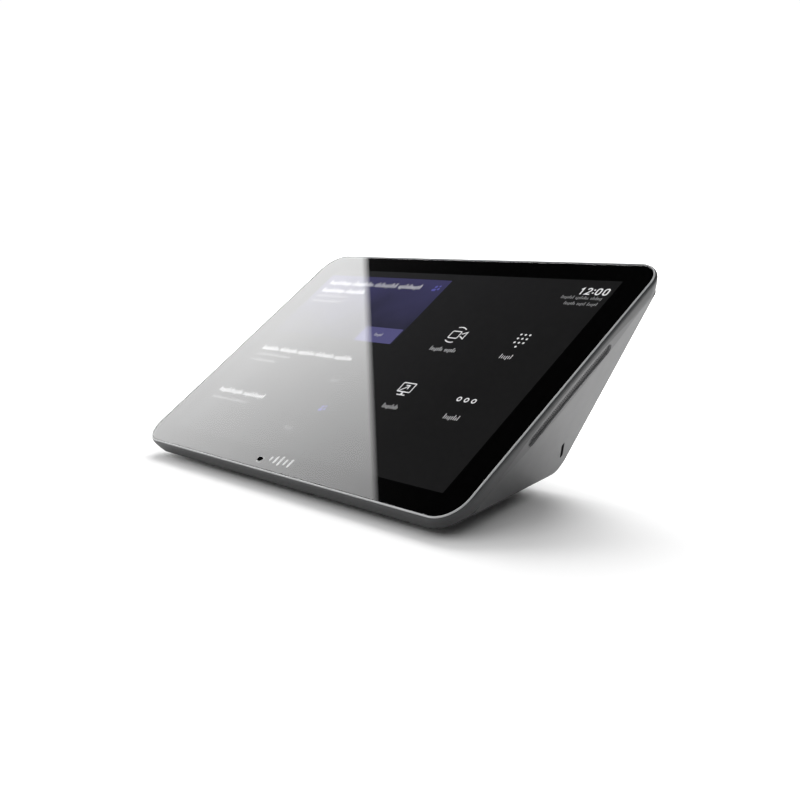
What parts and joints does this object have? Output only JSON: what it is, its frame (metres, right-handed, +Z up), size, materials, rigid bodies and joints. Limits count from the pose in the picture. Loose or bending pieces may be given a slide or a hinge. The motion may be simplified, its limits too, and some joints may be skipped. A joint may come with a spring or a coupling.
{
  "type": "touch-screen desk phone",
  "caption": "Wedge-shaped touch-screen desk phone: a glass-fronted slab display leaning back on a roof-shaped body, with a network socket, a power socket and a security lock slot.",
  "frame": {"origin": "centre of the bounding box's footprint, on the desk surface under the rubber feet", "axes": "+X to the user's right, +Y towards the back, +Z up; the screen faces -Y and leans back 36.4 degrees from flat"},
  "size_m": [0.197, 0.1072, 0.0831],
  "materials": {
    "housing": "fine-textured satin",
    "trim": "satin light grey",
    "cover_glass": "polished, black ink border on its back",
    "touch_film": "clear film",
    "display": "dark display panel",
    "backlight": "white diffuser in a tray",
    "inner_plastic": "moulded",
    "sheet_steel": "zinc-plated sheet",
    "screws": "plated",
    "sensor_lens": "black, matte",
    "circuit_board": "solder resist",
    "flex": "amber film",
    "ivory_plastic": "moulded",
    "base": "moulded, fine texture",
    "rubber": "matte",
    "label": "silver film",
    "chips": "epoxy",
    "thermal_pad": "soft pad",
    "aluminium": "bare",
    "shield": "tin-plated",
    "connector_black": "moulded",
    "contacts": "gold-plated",
    "reset_button": "moulded grey",
    "mesh": "black, finely pierced",
    "foam": "black foam tape"
  },
  "bodies": {
    "chassis": {"backlight_unit": "backlight", "base_plate": "base", "base_screws": "screws", "board_capacitors": "aluminium", "board_screws": "screws", "bracket_screws": "screws", "cover_glass": "cover_glass", "display_bracket": "sheet_steel", "display_carrier": "inner_plastic", "display_cell": "display", "display_flex": "flex", "ethernet_contacts": "contacts", "ethernet_jack": "connector_black", "flex_connectors": "ivory_plastic", "glass_adhesive": "foam", "heat_spreader": "aluminium", "housing": "housing", "io_recess": "base", "lock_bracket": "sheet_steel", "lock_bracket_screws": "screws", "main_board": "circuit_board", "memory_chips": "chips", "microphone_left": "circuit_board", "microphone_right": "circuit_board", "poe_transformer": "chips", "rating_label": "label", "reset_switch": "chips", "rubber_feet": "rubber", "sensor_board": "circuit_board", "sensor_lens": "sensor_lens", "shield_can": "shield", "slot_mesh_left": "mesh", "slot_mesh_right": "mesh", "soc_package": "chips", "speaker_gasket_left": "foam", "speaker_gasket_right": "foam", "speaker_left": "inner_plastic", "speaker_right": "inner_plastic", "thermal_pad": "thermal_pad", "touch_flex": "flex", "touch_sensor": "touch_film", "trim_ring": "trim", "usb_c_jack": "shield", "usb_c_tongue": "connector_black", "wifi_antenna": "shield", "wifi_module": "circuit_board"},
    "reset_button": {"reset_button": "reset_button"}
  },
  "joints": [
    {"name": "reset_press", "type": "slide", "parent": "chassis", "child": "reset_button", "axis": [0, -1, 0], "range_m": [0, 0.0006], "stiffness_N_per_m": 1000, "springref_m": -0.0002}
  ]
}
